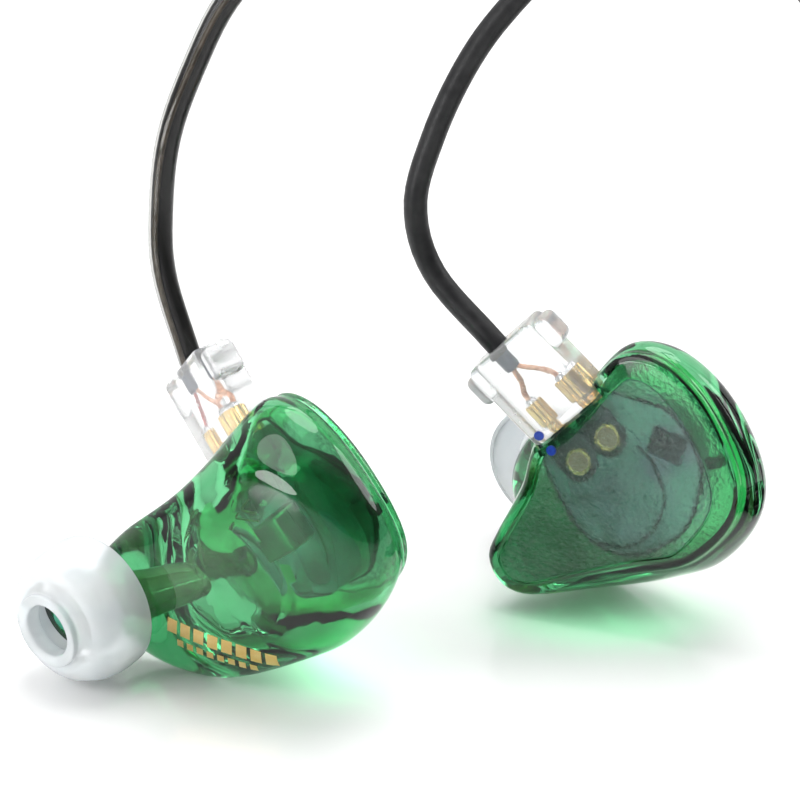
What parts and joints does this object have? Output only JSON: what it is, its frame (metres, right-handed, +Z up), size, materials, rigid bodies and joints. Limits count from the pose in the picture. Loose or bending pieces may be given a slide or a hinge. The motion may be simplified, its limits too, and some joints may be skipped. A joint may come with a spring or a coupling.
{
  "type": "in-ear monitors",
  "caption": "Pair of translucent green in-ear monitors with white silicone tips, clear two-pin plugs, black ear hooks and one cable ending in a 3.5 mm plug.",
  "frame": {"origin": "middle of the footprint of the two monitors with their ear hooks and tips, on the surface they lie on", "axes": "+X from the right-ear monitor towards the left-ear monitor, +Y away from the viewer, +Z up"},
  "size_m": [0.1278, 0.0561, 0.0698],
  "materials": {
    "green_resin": "clear tinted, glossy",
    "clear_resin": "clear, glossy",
    "smoked_resin": "smoked, clear",
    "white_silicone": "translucent, satin",
    "gold_plate": "gold plated",
    "steel": "satin",
    "tinned_copper": "bare strands",
    "black_cord": "satin",
    "black_rubber": "matte",
    "black_shell": "satin",
    "black_insulator": "matte",
    "blue_mark": "matte",
    "red_mark": "matte"
  },
  "bodies": {
    "monitors_and_cable": {"left_shell": "green_resin", "left_faceplate": "green_resin", "left_socket_block": "smoked_resin", "left_socket_contact_1": "gold_plate", "left_socket_contact_2": "gold_plate", "left_driver": "steel", "left_sound_horn": "clear_resin", "left_nozzle_screen": "steel", "left_lead_wire_1": "tinned_copper", "left_lead_wire_2": "tinned_copper", "left_socket_dot": "blue_mark", "left_branch_cord": "black_cord", "right_shell": "green_resin", "right_faceplate": "green_resin", "right_socket_block": "smoked_resin", "right_socket_contact_1": "gold_plate", "right_socket_contact_2": "gold_plate", "right_driver": "steel", "right_sound_horn": "clear_resin", "right_nozzle_screen": "steel", "right_lead_wire_1": "tinned_copper", "right_lead_wire_2": "tinned_copper", "right_socket_dot": "red_mark", "right_branch_cord": "black_cord", "splitter": "black_rubber", "trunk_lead_in": "black_cord", "trunk_coil": "black_cord", "trunk_lead_out": "black_cord", "coil_tie": "black_rubber", "mini_plug_boot": "black_rubber", "mini_plug_barrel": "black_shell", "mini_plug_sleeve": "gold_plate", "mini_plug_insulator_1": "black_insulator", "mini_plug_ring": "gold_plate", "mini_plug_insulator_2": "black_insulator", "mini_plug_tip": "gold_plate"},
    "left_tip": {"left_ear_tip": "white_silicone"},
    "left_plug": {"left_plug_body": "clear_resin", "left_plug_pin_1": "gold_plate", "left_plug_pin_2": "gold_plate", "left_plug_wire_1": "tinned_copper", "left_plug_wire_2": "tinned_copper", "left_plug_dot": "blue_mark", "left_ear_hook": "black_cord"},
    "right_tip": {"right_ear_tip": "white_silicone"},
    "right_plug": {"right_plug_body": "clear_resin", "right_plug_pin_1": "gold_plate", "right_plug_pin_2": "gold_plate", "right_plug_wire_1": "tinned_copper", "right_plug_wire_2": "tinned_copper", "right_plug_dot": "red_mark", "right_ear_hook": "black_cord"}
  },
  "joints": [
    {"name": "left_plug_pull", "type": "slide", "parent": "monitors_and_cable", "child": "left_plug", "axis": [-0.6942, 0.1881, 0.6948], "range_m": [0, 0.0046]},
    {"name": "left_tip_pull", "type": "slide", "parent": "monitors_and_cable", "child": "left_tip", "axis": [0.5018, 0.8579, 0.1104], "range_m": [0, 0.004]},
    {"name": "right_plug_pull", "type": "slide", "parent": "monitors_and_cable", "child": "right_plug", "axis": [-0.4989, 0.4787, 0.7224], "range_m": [0, 0.0046]},
    {"name": "right_tip_pull", "type": "slide", "parent": "monitors_and_cable", "child": "right_tip", "axis": [-0.6481, -0.755, -0.0998], "range_m": [0, 0.004]}
  ]
}
